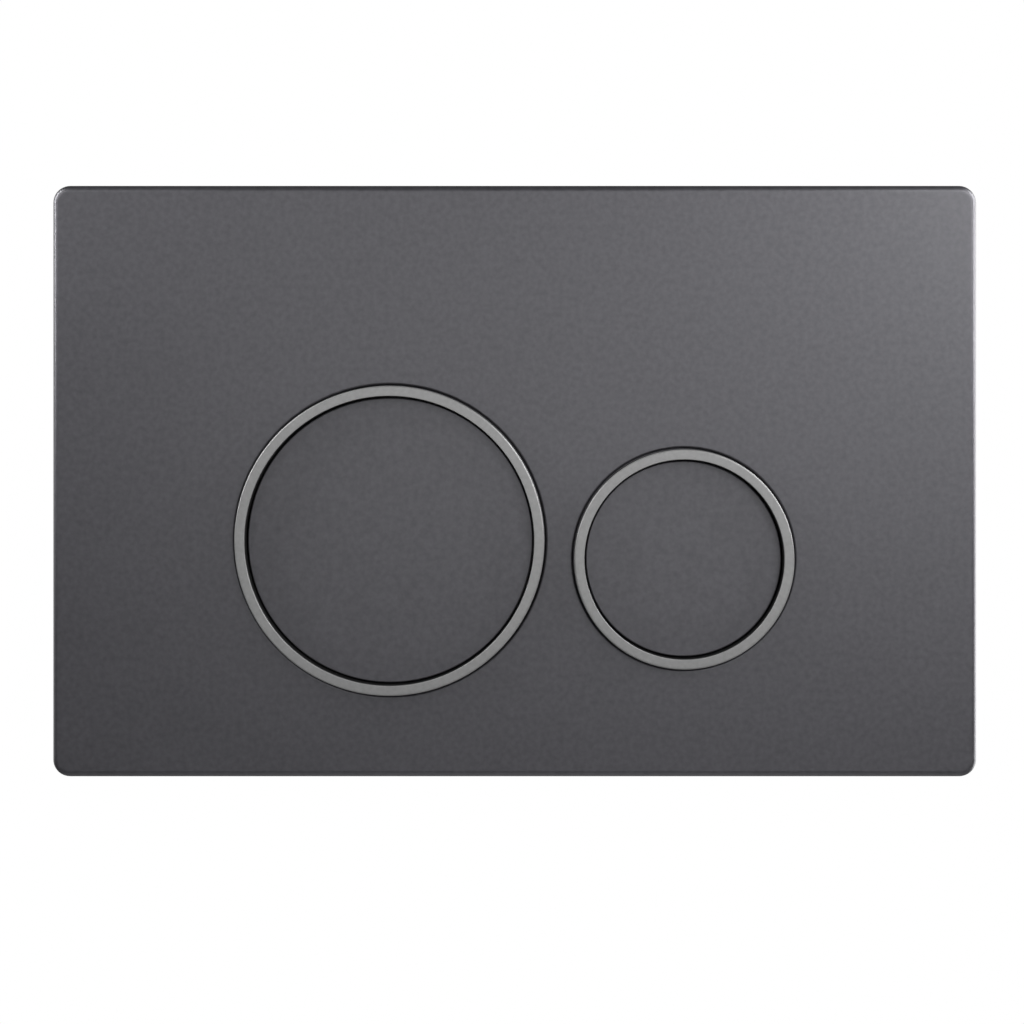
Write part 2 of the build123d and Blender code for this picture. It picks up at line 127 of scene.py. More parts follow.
def about(centre, reach, height, angle):
    """Grid around the line along Y through centre.

    The point at the distance r, the height h in front of the wall and the angle a is
    (x + r cos a, -h, z + r sin a).
    """
    x, z = centre[0] + reach * np.cos(angle), centre[1] + reach * np.sin(angle)
    return np.stack([x, np.broadcast_to(-height, x.shape), z], axis=-1)


def turn(profile, centre, segments):
    """Grid of a profile of (radius, height) points, turned about the line along Y through centre."""
    radius, height = np.asarray(profile, float).T
    return about(centre, radius, height, full_turn(segments))


print("a turn of four parts stops at", np.degrees(full_turn(4)).ravel().tolist(), "degrees")

# %% [markdown]
# ## Profiles with soft corners
# The section of a turned piece is a short list of corners, and no tool leaves a corner quite sharp. A
# Bevel modifier could round the finished mesh, but it gives every edge one width. Rounding the section
# before it is turned gives each corner its own size, and the arcs are true circles.

# %% Rounded profiles
ARC_POINTS = 6


def rounded(corners, cuts, steps=ARC_POINTS):
    """Profile whose corners are bridged by circular arcs.

    With S and E at the cut distance from the corner P on its two edges, and w the cosine of half the
    turn, the arc is ((1-t)^2 S + 2 w t (1-t) P + t^2 E) / ((1-t)^2 + 2 w t (1-t) + t^2) for t from 0 to 1.
    """
    corner = np.asarray(corners, float)
    before = np.roll(corner, 1, axis=0) - corner
    after = np.roll(corner, -1, axis=0) - corner
    before /= np.linalg.norm(before, axis=1, keepdims=True)
    after /= np.linalg.norm(after, axis=1, keepdims=True)
    cut = np.asarray(cuts, float)[:, None]
    weight = np.sqrt((1 - np.sum(before * after, axis=1)) / 2)[:, None, None]
    t = np.linspace(0, 1, steps)[None, :, None]
    pull = 2 * weight * t * (1 - t)
    ends = (1 - t) ** 2 * (corner + cut * before)[:, None] + t**2 * (corner + cut * after)[:, None]
    return ((ends + pull * corner[:, None]) / ((1 - t) ** 2 + pull + t**2)).reshape(-1, 2)


def closed(profile):
    """The profile with its first point repeated at the end."""
    return np.vstack([profile, profile[:1]])


print("each corner of a profile becomes an arc of", ARC_POINTS, "points")

# %% [markdown]
# ## Shader maths as expressions
# A finish is a few noises that move colour, roughness and a fine relief. Writing each Math node by hand
# hides the idea, so a small class wraps a node's output: sums and products of values add their own Math
# nodes, and one method adds any other node from its settings and its inputs.


# %% Values in a node tree
class Value:
    """One output of a shader node, or an empty start in a node tree."""

    def __init__(self, tree, socket=None):
        self.tree = tree
        self.socket = socket

    def node(self, kind, settings=None, inputs=None, output=0):
        """Add a node: its settings first, then a number, a colour or a link for each named input."""
        made = self.tree.nodes.new(kind)
        for name, setting in (settings or {}).items():
            setattr(made, name, setting)
        for name, source in (inputs or {}).items():
            if isinstance(source, Value):
                self.tree.links.new(source.socket, made.inputs[name])
            else:
                made.inputs[name].default_value = source
        return Value(self.tree, made.outputs[output] if made.outputs else None)

    def math(self, operation, first, second):
        """A Math node on two values or numbers."""
        return self.node("ShaderNodeMath", {"operation": operation}, {0: first, 1: second})

    def mix(self, share, first, second):
        """A colour between two colours, from the first at the share 0 to the second at 1."""
        return self.node("ShaderNodeMix", {"data_type": "RGBA"}, {0: share, 6: first, 7: second}, 2)

    def clamp(self):
        """This value, held between 0 and 1."""
        return self.node("ShaderNodeClamp", None, {"Value": self})

    def __add__(self, other):
        return self.math("ADD", self, other)

    def __sub__(self, other):
        return self.math("SUBTRACT", self, other)

    def __rsub__(self, other):
        return self.math("SUBTRACT", other, self)

    def __mul__(self, other):
        return self.math("MULTIPLY", self, other)

    def __truediv__(self, other):
        return self.math("DIVIDE", self, other)

    def __rtruediv__(self, other):
        return self.math("DIVIDE", other, self)

    def __abs__(self):
        return self.math("ABSOLUTE", self, 0.0)

    __radd__ = __add__
    __rmul__ = __mul__


# %% [markdown]
# ## One recipe for every finish
# Lacquer, plastic, zinc and rubber all show a fine grain and slow clouds, only at other scales and
# strengths. Each could have a node tree of its own, but one recipe with other numbers is easier to compare
# and to correct: grain and cloud mix two tones, and the grain also moves the roughness and raises a little
# relief. A piece whose front is coated differently has a second pair of tones in front of a given height.

# %% Recipe
GRAIN_DETAIL, CLOUD_DETAIL = 3.0, 2.0
GRAIN_SHARE, CLOUD_SHARE = 0.85, 0.15
FACE_FADE = 0.1


def blank_material(name):
    """A material with an empty node tree, and the start for its values."""
    material = bpy.data.materials.new(name)
    material.use_nodes = True
    material.node_tree.nodes.clear()
    return material, Value(material.node_tree)


def finish(name, tones, grain, cloud, roughness, vary, relief, face=None, **constants):
    """Material whose colour mixes two tones by 0.85 grain + 0.15 cloud.

    Grain and cloud are noises with that many spots per metre. The roughness is r + v (grain + cloud - 1),
    and relief is the grain's height in millimetres. A face is a second pair of tones, their roughness, and
    the height from the wall, in millimetres, in front of which the surface has them.
    """
    material, start = blank_material(name)
    place = start.node("ShaderNodeTexCoord", output="Object")
    fine = {"Vector": place, "Scale": grain, "Detail": GRAIN_DETAIL}
    slow = {"Vector": place, "Scale": cloud, "Detail": CLOUD_DETAIL}
    speck = start.node("ShaderNodeTexNoise", None, fine)
    drift = start.node("ShaderNodeTexNoise", None, slow)
    shade = GRAIN_SHARE * speck + CLOUD_SHARE * drift
    paint = start.mix(shade, *tones)
    gloss = roughness + vary * (speck + drift - 1.0)
    if face:
        face_tones, face_roughness, height = face
        depth = start.node("ShaderNodeSeparateXYZ", None, {"Vector": place}, "Y")
        front = ((-height * MM - depth) / (FACE_FADE * MM) + 0.5).clamp()
        paint = start.mix(front, paint, start.mix(shade, *face_tones))
        gloss = gloss + (face_roughness - roughness) * front
    bumps = {"Height": speck, "Strength": 1.0, "Distance": relief * MM}
    normal = start.node("ShaderNodeBump", None, bumps)
    inputs = {"Base Color": paint, "Roughness": gloss, "Normal": normal, **constants}
    shader = start.node("ShaderNodeBsdfPrincipled", None, inputs)
    start.node("ShaderNodeOutputMaterial", None, {"Surface": shader})
    print("finish", name, "at", grain, "grains per metre")
    return material


# %% [markdown]
# ## Lacquers of the face
# The plate and the caps are moulded plastic under a graphite lacquer: dark and satin, with metal flakes
# that show as a very fine grain, and a little smoother on the rounded edges. The rings are coated bright on
# their front, and their walls below it are painted near black, darker than a black moulding: painted shade
# that stands in for the shade in the gaps beside each ring, so a dark line shows at each side of the bright
# face. Thin painted lines could draw that as well, but here it follows from the height, so it is right from
# every side.

# %% Graphite and bright lacquer
PLATE_FRONT, CAP_FRONT, RING_FRONT = 13.0, 12.3, 14.9
FACE_SKIN, RING_SKIN = 0.07, 0.55
LACQUER = {"Metallic": 0.75, "Coat Weight": 0.45, "Coat Roughness": 0.30}
BRIGHT_LACQUER = {"Metallic": 0.3, "Coat Weight": 0.6, "Coat Roughness": 0.2}


def colour(red, green, blue):
    """Opaque colour in linear light."""
    return (red, green, blue, 1.0)


def grey_tones(dark, light):
    """A dark and a light neutral grey."""
    return colour(dark, dark, dark), colour(light, light, light)


GRAPHITE = (colour(0.0665, 0.0652, 0.0720), colour(0.1335, 0.1311, 0.1465))
# The ring's wall tones are painted shade: near black, darker than a black moulding, for the shade in its
# gaps.
RING_WALL_PAINTED_SHADE, RING_BRIGHT = grey_tones(0.006, 0.014), grey_tones(0.207, 0.308)


def graphite_lacquer(name, front):
    """Graphite finish whose flat face, at the height `front` in millimetres, is rougher than its edges."""
    return finish(
        name, GRAPHITE, grain=680, cloud=35, roughness=0.42, vary=0.05, relief=0.004,
        face=(GRAPHITE, 0.54, front - FACE_SKIN), **LACQUER,
    )


graphite = graphite_lacquer("graphite_plate_lacquer", PLATE_FRONT)
graphite_cap = graphite_lacquer("graphite_cap_lacquer", CAP_FRONT)
# Below its coated front the ring takes the near-black wall tones, which paint the shade of its gaps.
silver = finish(
    "bright_faced_lacquer", RING_WALL_PAINTED_SHADE, grain=850, cloud=35, roughness=0.50, vary=0.06, relief=0.002,
    face=(RING_BRIGHT, 0.42, RING_FRONT - RING_SKIN), **BRIGHT_LACQUER,
)

# %% [markdown]
# ## Materials behind the face
# The housing and plungers are black plastic, the wall frame is light grey, and rods and nuts are natural
# white. Studs, screws and washers are zinc plated, with a bluish and a yellowish tone in the plating. The
# springs are drawn wire, and the rods end in rubber. Flat colours would do for hidden pieces, but these
# show in every view from behind, so each has its own grain and gloss.

# %% Plastics, metals and rubber
black = finish(
    "black_moulding", (colour(0.012, 0.012, 0.013), colour(0.028, 0.028, 0.030)),
    grain=1500, cloud=40, roughness=0.48, vary=0.16, relief=0.02,
)
grey = finish(
    "grey_moulding", (colour(0.24, 0.25, 0.26), colour(0.34, 0.35, 0.36)),
    grain=1500, cloud=30, roughness=0.52, vary=0.14, relief=0.02,
)
white = finish(
    "natural_white_moulding", (colour(0.52, 0.52, 0.485), colour(0.65, 0.65, 0.62)),
    grain=900, cloud=60, roughness=0.42, vary=0.14, relief=0.01,
)
zinc = finish(
    "bright_zinc", (colour(0.42, 0.44, 0.48), colour(0.66, 0.65, 0.60)),
    grain=420, cloud=90, roughness=0.30, vary=0.16, relief=0.006, Metallic=1.0,
)
wire = finish(
    "drawn_wire", (colour(0.34, 0.34, 0.35), colour(0.60, 0.60, 0.61)),
    grain=1400, cloud=120, roughness=0.26, vary=0.14, relief=0.004, Metallic=1.0,
)
rubber = finish(
    "soft_rubber", grey_tones(0.010, 0.026),
    grain=1800, cloud=80, roughness=0.72, vary=0.16, relief=0.03,
)

# %% [markdown]
# ## Handing a piece to the frame
# A finished piece stands for one CAD solid: it hides the solid and moves with the solid's body. The solids
# could be painted where they are, but then they would keep their plain edges.


# %% Dress
def dress(piece, surface, body, node):
    """Give a piece its finish, let it ride on a body, and let it stand for a CAD node."""
    piece.data.materials.clear()
    piece.data.materials.append(surface)
    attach(piece, body)
    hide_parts(node)
    print(f"{piece.name}: {len(piece.data.polygons)} faces, stands for {node}")


# %% [markdown]
# ## Moulded pieces
# The cover plate, the housing, the plungers and the wall frame have the right shape in the CAD already,
# down to the ribs and hooks. A mould never leaves a knife edge, though, and the edge is what catches the
# light. Building them again from grids would only repeat the CAD, so each is a copy of its solid with the
# triangles merged back into faces and a small round on every sharp edge.

# %% Soft-edged copies of the CAD solids
FLAT_ANGLE, ANY_ANGLE = 0.2, 180.0
EDGE_ANGLE, EDGE_STEPS = 40.0, 2
MOULD_EDGE, FRAME_EDGE = 0.2, 0.25


def keep_flats(piece):
    """Let the large faces decide the shading, so that a flat face stays flat up to the round beside it."""
    piece.modifiers.new("flat_faces", "WEIGHTED_NORMAL").keep_sharp = True
    return piece


def moulded(name, node, edge):
    """Copy of a CAD node: triangles merged, flat faces joined, sharp edges rounded by `edge` millimetres."""
    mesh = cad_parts[node].data.copy()
    mesh.name = name
    for layer in ("custom_normal", "sharp_edge"):
        if layer in mesh.attributes:
            mesh.attributes.remove(mesh.attributes[layer])
    solid = bmesh.new()
    solid.from_mesh(mesh)
    bmesh.ops.remove_doubles(solid, verts=solid.verts, dist=WELD)
    flat = {"angle_face_threshold": radians(FLAT_ANGLE), "angle_shape_threshold": radians(ANY_ANGLE)}
    bmesh.ops.join_triangles(solid, faces=solid.faces, **flat)
    finish_mesh(mesh, solid)
    piece = stand(name, mesh)
    bevel = piece.modifiers.new("mould_edge", "BEVEL")
    bevel.width = edge * MM
    bevel.segments = EDGE_STEPS
    bevel.limit_method = "ANGLE"
    bevel.angle_limit = radians(EDGE_ANGLE)
    bevel.use_clamp_overlap = False
    bevel.miter_outer = "MITER_ARC"
    return keep_flats(piece)


plate = moulded("cover_plate", "front_plate", MOULD_EDGE)
dress(plate, graphite, "plate_assembly", "front_plate")
housing = moulded("two_well_housing", "button_housing", MOULD_EDGE)
dress(housing, black, "plate_assembly", "button_housing")
wall_frame = moulded("wall_frame", "mounting_frame", FRAME_EDGE)
dress(wall_frame, grey, "plate_assembly", "mounting_frame")
for size in ("large", "small"):
    hat = moulded(size + "_top_hat", size + "_plunger", MOULD_EDGE)
    dress(hat, black, size + "_button", size + "_plunger")

# %% [markdown]
# ## Rings and caps
# Each button is a flat round cap in a raised ring. The ring stands 1.9 mm in front of the plate and its
# outer corner is rounded by half a millimetre, which draws the bright arcs at the upper left and right. The
# cap lies 0.7 mm behind the plate's face, so the ring's bore shows as a dark line, partly real shade in the
# gap and partly painted shade, as the bore is coloured near black. Bevelled cylinders would look alike from
# the front, but the ring has a sleeve and the cap a skirt. So both are profiles turned about the press axis,
# fine enough to stay round in a close view, with their large flat faces kept flat.

# %% Turned rings and caps
RING_RADIUS = {"large": 41.6, "small": 29.55}
RING_FACE, RING_SEAT = 2.7, 11.3
RING_ROUND, RING_EDGE = 0.5, 0.15
SLEEVE_WALL, SLEEVE_END = 1.0, 7.1
SLEEVE_LEAD, SLEEVE_EDGE = 0.2, 0.1
BUTTON_GAP = 0.4
CAP_BACK, CAP_ROUND = 11.0, 0.4
SKIRT_WALL, SKIRT_END, SKIRT_EDGE = 1.5, 6.4, 0.15
ROUND_SEGMENTS = 288


def middle(node):
    """Middle of a CAD node's box as x and z in millimetres."""
    low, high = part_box(node)
    return (low.x + high.x) / 2 / MM, (low.z + high.z) / 2 / MM


CENTRE = {size: middle(size + "_trim_ring") for size in RING_RADIUS}
for size, ring in RING_RADIUS.items():
    bore = ring - RING_FACE
    sleeve = bore + SLEEVE_WALL
    ring_corners = [
        (bore, SLEEVE_END), (sleeve, SLEEVE_END), (sleeve, RING_SEAT),
        (ring, RING_SEAT), (ring, RING_FRONT), (bore, RING_FRONT),
    ]
    ring_cuts = (SLEEVE_EDGE, SLEEVE_LEAD, SLEEVE_EDGE, RING_EDGE, RING_ROUND, RING_EDGE)
    ring_grid = turn(closed(rounded(ring_corners, ring_cuts)), CENTRE[size], ROUND_SEGMENTS)
    raised_ring = keep_flats(skin(size + "_raised_ring", [ring_grid]))
    dress(raised_ring, silver, "plate_assembly", size + "_trim_ring")
    cap = bore - BUTTON_GAP
    cap_corners = [
        (0, CAP_FRONT), (cap, CAP_FRONT), (cap, SKIRT_END),
        (cap - SKIRT_WALL, SKIRT_END), (cap - SKIRT_WALL, CAP_BACK), (0, CAP_BACK),
    ]
    cap_cuts = (0, CAP_ROUND, SKIRT_EDGE, SKIRT_EDGE, CAP_ROUND, 0)
    cap_grid = turn(rounded(cap_corners, cap_cuts), CENTRE[size], ROUND_SEGMENTS)
    flat_cap = keep_flats(skin(size + "_flat_cap", [cap_grid]))
    dress(flat_cap, graphite_cap, size + "_button", size + "_button_cap")

# %% [markdown]
# ## Return springs
# A compression spring is round wire wound in a helix whose end turns lie close together. A bevelled curve
# could draw it, but its ends would have to be closed by hand. Here the wire is a small circle carried along
# the helix and shrunk to a point at both ends. The coil closes up towards its seat on the floor of the well
# as the button is pressed; here it keeps its resting shape and rides on the plate assembly.

# %% Coiled wire
SPRING_FOOT, SPRING_TOP, SPRING_SEAT = -1.35, 9.35, -1.4
SPRING_RADIUS, WIRE_RADIUS = 9.4, 0.5
SPRING_TURNS, END_CLOSING = 4.5, 0.75
SPRING_STEPS, WIRE_SIDES = 217, 14


def coiled_wire(centre):
    """Grid of a coil: at the share s of its length it has turned by n s full turns and climbed by
    s - c sin(2 pi s) / (2 pi) of its rise, where c closes the end turns."""
    share = np.r_[0, np.linspace(0, 1, SPRING_STEPS), 1][:, None]
    girth = np.r_[0, np.full(SPRING_STEPS, WIRE_RADIUS), 0][:, None]
    climb = share - END_CLOSING * np.sin(2 * np.pi * share) / (2 * np.pi)
    rise = SPRING_TOP - SPRING_FOOT - 2 * WIRE_RADIUS
    side = full_turn(WIRE_SIDES).T
    reach = SPRING_RADIUS + girth * np.cos(side)
    level = SPRING_FOOT + WIRE_RADIUS + rise * climb + girth * np.sin(side)
    return about(centre, reach, level, 2 * np.pi * SPRING_TURNS * share)


for size, centre in CENTRE.items():
    spring = skin(size + "_coil", [coiled_wire(centre)])
    dress(spring, wire, "plate_assembly", size + "_return_spring")
    anchor = (centre[0] * MM, -SPRING_SEAT * MM, centre[1] * MM)
    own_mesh(spring)

# %% [markdown]
# ## Threads
# The studs, push rods and screws are threaded. A thread could be cut by a boolean with a helix, which is
# slow and leaves poor faces. But a thread is only a cylinder whose radius dips once per pitch, with a dip
# that moves round as it climbs. So a grid of heights and angles, with the radius lowered by a wave, draws
# it directly.

# %% Threaded grids
ROWS_PER_PITCH = 8
ROD_SEGMENTS = 36


def threaded(height, radius, depth, pitch, centre, segments=ROD_SEGMENTS):
    """Grid of a stepped rod along Y with a thread.

    At the height h and the angle a the radius is r(h) - d(h) (1 + cos(2 pi h / p - a)) / 2, so the groove
    climbs one pitch p per turn. Where the depth d is 0 the rod is plain.
    """
    angle = full_turn(segments)
    height, radius, depth = (np.asarray(values, float)[None, :] for values in (height, radius, depth))
    groove = (1 + np.cos(2 * np.pi * height / pitch - angle)) / 2
    return about(centre, radius - depth * groove, height, angle)


def shaft(low, high, radius, depth, pitch, chamfers):
    """Rows of a threaded length: height, outer radius held down by both end chamfers, and thread depth."""
    height = np.linspace(low, high, max(2, round((high - low) / pitch * ROWS_PER_PITCH)))
    ends = np.minimum(height - low + radius - chamfers[0], high - height + radius - chamfers[1])
    outer = np.minimum(radius, ends)
    return np.stack([height, outer, np.clip(outer - (radius - depth), 0, depth)])


def on_axis(height):
    """A row on the axis, which closes the end of a rod."""
    return np.array([[height], [0.0], [0.0]])


print("a thread has", ROWS_PER_PITCH, "rows per pitch")

# %% [markdown]
# ## Studs and push rods
# Two zinc plated studs go back to the cistern, each with a thinner neck in front that takes the nut. A
# white plastic rod behind each button reaches the flush valve. Their threads could have the pitch of a real
# stud of this size, but grooves that fine blur into grey in a picture, so the pitch is a little coarser.

# %% Threaded studs and rods
STUD_BACK, STUD_FRONT, STUD_PITCH = -70.0, 10.0, 2.0
STUD_RADIUS, STUD_THREAD, STUD_CHAMFERS = 4.0, 0.7, (0.8, 0.3)
NECK_RADIUS, NECK_THREAD, NECK_CHAMFERS = 3.0, 0.5, (0.0, 0.4)
ROD_BACK, ROD_FRONT, ROD_PITCH = -60.0, -0.9, 2.0
ROD_RADIUS, ROD_THREAD, ROD_CHAMFERS = 4.0, 0.95, (0.6, 0.6)

stud_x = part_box("fixing_rods")[1].x / MM - STUD_RADIUS
STUDS = [(-stud_x, 0.0), (stud_x, 0.0)]
stud_rows = np.hstack([
    on_axis(STUD_BACK),
    shaft(STUD_BACK, 0.0, STUD_RADIUS, STUD_THREAD, STUD_PITCH, STUD_CHAMFERS),
    shaft(0.0, STUD_FRONT, NECK_RADIUS, NECK_THREAD, STUD_PITCH, NECK_CHAMFERS),
    on_axis(STUD_FRONT),
])
studs = skin("threaded_studs", [threaded(*stud_rows, STUD_PITCH, spot) for spot in STUDS])
dress(studs, zinc, "plate_assembly", "fixing_rods")

rod_rows = np.hstack([
    on_axis(ROD_BACK),
    shaft(ROD_BACK, ROD_FRONT, ROD_RADIUS, ROD_THREAD, ROD_PITCH, ROD_CHAMFERS),
    on_axis(ROD_FRONT),
])
for size, centre in CENTRE.items():
    rod = skin(size + "_threaded_rod", [threaded(*rod_rows, ROD_PITCH, centre)])
    dress(rod, white, size + "_button", size + "_push_rod")

# %% [markdown]
# ## Screws
# The housing hangs on four pan-head screws. A head is a shallow dome with a cross-shaped recess for the
# driver. A boolean could cut the recess, but it is only a dip in the dome: two crossed arms with soft
# sides, lowered where they are. So the same grid that carries the thread carries the recess.

# %% Pan-head screws
SCREW_RADIUS, SCREW_TIP, SCREW_PITCH = 1.4, 9.0, 1.1
SCREW_THREAD, SCREW_CHAMFERS, SCREW_SEGMENTS = 0.35, (0.0, 0.9), 72
HEAD_RADIUS, HEAD_HEIGHT, HEAD_SHOULDER, HEAD_SEAT = 2.9, 1.9, 1.25, 2.0
HEAD_CUTS = (0, 0.3, 0.12, 0)
DOME_RADIUS, DOME_FALL, DOME_ROWS = 2.3, 0.25, 26
ARM_HALF_WIDTH, ARM_REACH, ARM_DEPTH = 0.34, 1.55, 1.1
ARM_SIDE, ARM_END = 0.12, 0.3
SCREWS = [(-80.998, -3.192), (13.598, -2.266), (11.509, -35.358), (81.409, -11.311)]


def arm(across, along):
    """1 inside one arm of the cross and 0 outside: a soft ramp over its sides times one over its ends."""
    side = np.clip((ARM_HALF_WIDTH - np.abs(across)) / ARM_SIDE + 0.5, 0, 1)
    return side * np.clip((ARM_REACH - np.abs(along)) / ARM_END, 0, 1)


def pan_head_screw(spot):
    """Grid of one screw: the dome, a parabola with its recess, the head's side and seat, then the shank."""
    dome_radius = np.linspace(0, DOME_RADIUS, DOME_ROWS)
    dome_height = -HEAD_HEIGHT + DOME_FALL * (dome_radius / DOME_RADIUS) ** 2
    dome = np.stack([dome_height, dome_radius, 0 * dome_radius])
    side_corners = [
        (DOME_RADIUS, DOME_FALL - HEAD_HEIGHT), (HEAD_RADIUS, -HEAD_SHOULDER),
        (HEAD_RADIUS, 0), (HEAD_SEAT, 0),
    ]
    side = rounded(side_corners, HEAD_CUTS)
    neck = np.stack([side[:, 1], side[:, 0], 0 * side[:, 0]])
    shank = shaft(0.0, SCREW_TIP, SCREW_RADIUS, SCREW_THREAD, SCREW_PITCH, SCREW_CHAMFERS)
    rows = np.hstack([dome, neck, shank, on_axis(SCREW_TIP)])
    grid = threaded(*rows, SCREW_PITCH, (0, 0), SCREW_SEGMENTS)
    cross = np.maximum(arm(grid[..., 0], grid[..., 2]), arm(grid[..., 2], grid[..., 0]))
    grid[..., 1] -= ARM_DEPTH * cross * (np.arange(grid.shape[1]) < DOME_ROWS)
    return grid + np.array([spot[0], 0, spot[1]])


screws = skin("pan_head_screws", [pan_head_screw(spot) for spot in SCREWS])
dress(screws, zinc, "plate_assembly", "housing_screws")

# %% [markdown]
# ## Thumb nuts and washers
# A white thumb nut on each stud clamps the frame over a plain washer. The nut is a turned blank with twelve
# soft flutes for the fingers. Cutting the flutes with cylinders would leave sharp ridges, while lowering
# the rim by a wave of the angle leaves the soft ones that a mould gives.

# %% Fluted nuts and plain washers
NUT_BACK, NUT_FRONT, NUT_RADIUS, NUT_BORE = 6.8, 10.0, 7.0, 3.05
NUT_CUTS, NUT_SEGMENTS = (0.3, 0.5, 0.8, 0.4), 144
FLUTES, FLUTE_DEPTH = 12, 0.55
FLUTE_START, FLUTE_RISE = 5.0, 1.6
WASHER_BACK, WASHER_FRONT, WASHER_RADIUS, WASHER_BORE = 6.0, 6.8, 6.6, 3.3
WASHER_CUTS, WASHER_SEGMENTS = (0.1, 0.1, 0.25, 0.25), 96


def collar(bore, rim, back, front, cuts):
    """Closed profile of a plain ring from its bore to its rim, with a cut at each corner."""
    return closed(rounded([(bore, back), (rim, back), (rim, front), (bore, front)], cuts))


def fluted(profile, spot):
    """Turned blank whose rim is lowered by d sin^2(n a / 2), for n flutes of the depth d at the angle a."""
    blank = turn(profile, (0, 0), NUT_SEGMENTS)
    rim = np.clip((np.hypot(blank[..., 0], blank[..., 2]) - FLUTE_START) / FLUTE_RISE, 0, 1)
    dip = np.sin(FLUTES * full_turn(NUT_SEGMENTS) / 2) ** 2
    lower = 1 - FLUTE_DEPTH / NUT_RADIUS * rim * dip
    scale = np.stack([lower, np.ones_like(lower), lower], axis=-1)
    return blank * scale + np.array([spot[0], 0, spot[1]])


nut_profile = collar(NUT_BORE, NUT_RADIUS, NUT_BACK, NUT_FRONT, NUT_CUTS)
nuts = skin("fluted_nuts", [fluted(nut_profile, spot) for spot in STUDS])
dress(nuts, white, "plate_assembly", "thumb_nuts")

washer_profile = collar(WASHER_BORE, WASHER_RADIUS, WASHER_BACK, WASHER_FRONT, WASHER_CUTS)
washers = skin("plain_washers", [turn(washer_profile, spot, WASHER_SEGMENTS) for spot in STUDS])
dress(washers, zinc, "plate_assembly", "fixing_washers")

# %% [markdown]
# ## Hexagon nuts
# A hexagon nut locks each push rod in its plunger. It is a six-sided prism whose corners are turned off by a
# cone at each end, which leaves the curved line on every flat. A prism and a cone could be intersected, but
# at every angle the radius is simply the smaller of the two, so one grid gives both.

# %% Hexagon nuts
HEX_BACK, HEX_FRONT, ACROSS_FLATS, HEX_BORE = -14.9, -9.9, 13.0, 4.05
CONE_FOOT, CONE_SLOPE, CONE_HEIGHT, CONE_ROWS = 6.2, 1.73, 0.8, 7
BORE_CHAMFER, HEX_SEGMENTS = 0.5, 96


def hexagon_nut(centre):
    """Grid of a nut: at the angle a the side is the smaller of the hexagon (f / 2) / cos(a mod 60 - 30)
    and the cone that grows by its slope from the nearer end."""
    angle = full_turn(HEX_SEGMENTS)
    level = np.linspace(0, CONE_HEIGHT, CONE_ROWS)
    flat = ACROSS_FLATS / 2 / np.cos(np.mod(angle, np.pi / 3) - np.pi / 6)
    side = np.minimum(flat, CONE_FOOT + CONE_SLOPE * np.r_[level, level[::-1]])
    mouth = HEX_BORE + BORE_CHAMFER
    bore = np.broadcast_to([mouth, HEX_BORE, HEX_BORE, mouth], (HEX_SEGMENTS + 1, 4))
    bore_height = [HEX_FRONT, HEX_FRONT - BORE_CHAMFER, HEX_BACK + BORE_CHAMFER, HEX_BACK]
    height = np.r_[HEX_BACK + level, HEX_FRONT - level[::-1], bore_height, HEX_BACK]
    return about(centre, np.hstack([side, bore, side[:, :1]]), height, angle)


for size, centre in CENTRE.items():
    locknut = skin(size + "_hexagon_nut", [hexagon_nut(centre)])
    dress(locknut, white, size + "_button", size + "_rod_locknut")

# %% [markdown]
# ## Rubber tips
# A soft tip on the end of each rod keeps it from marking the lever of the flush valve. It is a cup pushed
# over the rod, with three grip grooves and a well rounded end. The grooves could be pressed into a finished
# cup, but as corners of its profile they are turned with it and closed from the start.

# %% Turned tips
TIP_FRONT, TIP_BACK, TIP_SOCKET_END = -52.0, -63.0, -60.0
TIP_RADIUS, TIP_BORE, TIP_SEGMENTS = 6.0, 4.05, 72
GRIP_STARTS, GRIP_DEPTH = (2.0, 4.6, 7.2), 0.5
GRIP_STEPS = ((0, 0), (0.4, GRIP_DEPTH), (1.2, GRIP_DEPTH), (1.6, 0))
SOCKET_CUT, MOUTH_CUT, LIP_CUT, GRIP_CUT, END_ROUND = 0.2, 0.3, 0.5, 0.15, 1.6
TIP_ARC_POINTS = 5

grips = [(TIP_RADIUS - dip, TIP_FRONT - start - step) for start in GRIP_STARTS for step, dip in GRIP_STEPS]
tip_corners = [
    (0, TIP_SOCKET_END), (TIP_BORE, TIP_SOCKET_END), (TIP_BORE, TIP_FRONT), (TIP_RADIUS, TIP_FRONT),
    *grips, (TIP_RADIUS, TIP_BACK), (0, TIP_BACK),
]
tip_cuts = (0, SOCKET_CUT, MOUTH_CUT, LIP_CUT, *[GRIP_CUT] * len(grips), END_ROUND, 0)
tip_profile = rounded(tip_corners, tip_cuts, TIP_ARC_POINTS)
for size, centre in CENTRE.items():
    tip = skin(size + "_rubber_tip", [turn(tip_profile, centre, TIP_SEGMENTS)])
    dress(tip, rubber, size + "_button", size + "_rod_tip")

# %% [markdown]
# ## Camera
# The photograph is taken straight on. The dark lines inside the rings are widest at the lower left, so the
# camera stands a little to the right of the middle and above it. Turning the camera would make the plate's
# sides lean, so it looks straight ahead, and its lens is shifted until the plate is where the photograph has
# it. The view is 276 mm wide where the plate's face is.

